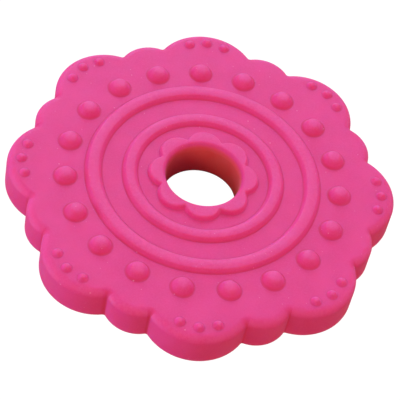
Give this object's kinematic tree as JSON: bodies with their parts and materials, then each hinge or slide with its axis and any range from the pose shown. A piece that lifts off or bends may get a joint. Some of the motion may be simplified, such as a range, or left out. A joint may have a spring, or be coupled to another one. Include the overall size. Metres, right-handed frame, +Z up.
{
  "type": "teething ring",
  "caption": "Flat flower-shaped silicone teething disc with a centre hole, a petal collar, raised chewing rings and round nubs to press on sore gums.",
  "frame": {"origin": "centre of the hole, on the flat underside", "axes": "+Z up along the hole's axis, towards the face with the nubs; +X and +Y each through the middle of a large lobe"},
  "size_m": [0.076, 0.076, 0.0096],
  "materials": {
    "silicone": "matte"
  },
  "bodies": {
    "root": {"scalloped_disc": "silicone", "petal_collar": "silicone", "inner_ring": "silicone", "outer_ring": "silicone", "large_nub_01": "silicone", "large_nub_02": "silicone", "large_nub_03": "silicone", "large_nub_04": "silicone", "large_nub_05": "silicone", "large_nub_06": "silicone", "large_nub_07": "silicone", "large_nub_08": "silicone", "large_nub_09": "silicone", "large_nub_10": "silicone", "large_nub_11": "silicone", "large_nub_12": "silicone", "large_nub_13": "silicone", "large_nub_14": "silicone", "large_nub_15": "silicone", "large_nub_16": "silicone", "large_nub_17": "silicone", "large_nub_18": "silicone", "large_nub_19": "silicone", "small_nub_1_right": "silicone", "small_nub_1_middle": "silicone", "small_nub_1_left": "silicone", "small_nub_2_right": "silicone", "small_nub_2_middle": "silicone", "small_nub_2_left": "silicone", "small_nub_3_right": "silicone", "small_nub_3_middle": "silicone", "small_nub_3_left": "silicone", "small_nub_4_right": "silicone", "small_nub_4_middle": "silicone", "small_nub_4_left": "silicone", "small_nub_5_right": "silicone", "small_nub_5_middle": "silicone", "small_nub_5_left": "silicone", "small_nub_6_right": "silicone", "small_nub_6_middle": "silicone", "small_nub_6_left": "silicone", "small_nub_7_right": "silicone", "small_nub_7_middle": "silicone", "small_nub_7_left": "silicone", "small_nub_8_right": "silicone", "small_nub_8_middle": "silicone", "small_nub_8_left": "silicone"}
  },
  "joints": []
}
